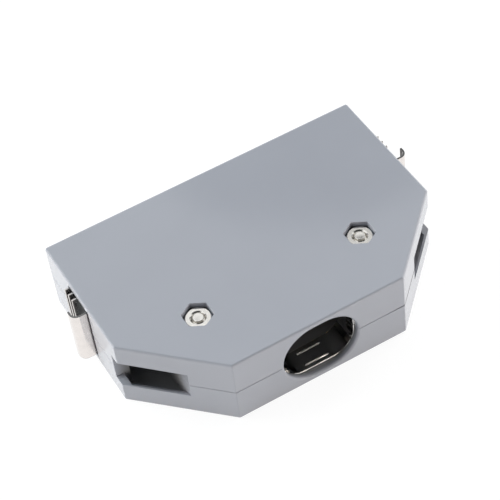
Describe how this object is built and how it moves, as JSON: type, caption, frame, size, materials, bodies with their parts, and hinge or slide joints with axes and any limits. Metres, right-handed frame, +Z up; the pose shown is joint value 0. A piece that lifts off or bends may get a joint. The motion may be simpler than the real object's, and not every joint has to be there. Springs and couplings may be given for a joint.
{
  "type": "servo connector",
  "caption": "Flat grey cable connector: two-part moulded hood with cut corners, an oval cable hole, sprung side levers with hooks, and a three-row socket block.",
  "frame": {"origin": "on the underside, at the middle of the whole connector's plan box, lever tabs and hooks included", "axes": "+X across the width to the right lever, +Y towards the mating side, +Z up through the thickness"},
  "size_m": [0.074, 0.0484, 0.0158],
  "materials": {
    "hood_plastic": "satin moulded grey",
    "bright_nickel": "bright nickel plate",
    "block_plastic": "black moulded",
    "contact_gold": "gold flashed",
    "lever_steel": "nickel-plated sheet",
    "spring_steel": "bare steel wire and rod",
    "clamp_steel": "plated steel strip"
  },
  "bodies": {
    "hood": {"upper_shell": "hood_plastic", "lower_shell": "hood_plastic", "hood_screw_left": "bright_nickel", "hood_screw_right": "bright_nickel", "hood_nut_left": "bright_nickel", "hood_nut_right": "bright_nickel", "contact_block": "block_plastic", "contacts_upper": "contact_gold", "contacts_middle": "contact_gold", "contacts_lower": "contact_gold", "lever_pin_left": "spring_steel", "lever_pin_right": "spring_steel", "lever_spring_left": "spring_steel", "lever_spring_right": "spring_steel", "clamp_saddle": "clamp_steel", "clamp_strap": "clamp_steel", "clamp_screw_left": "bright_nickel", "clamp_screw_right": "bright_nickel"},
    "left_lever": {"lever_left": "lever_steel"},
    "right_lever": {"lever_right": "lever_steel"}
  },
  "joints": [
    {"name": "left_press", "type": "hinge", "parent": "hood", "child": "left_lever", "pos_m": [-0.0309, 0.0131, 0.0079], "axis": [0, 0, 1], "range_deg": [0, 7], "stiffness_Nm_per_rad": 0.05, "springref_deg": -11.46, "deforming": ["lever_spring_left"]},
    {"name": "right_press", "type": "hinge", "parent": "hood", "child": "right_lever", "pos_m": [0.0309, 0.0131, 0.0079], "axis": [0, 0, -1], "range_deg": [0, 7], "stiffness_Nm_per_rad": 0.05, "springref_deg": -11.46, "deforming": ["lever_spring_right"]}
  ]
}
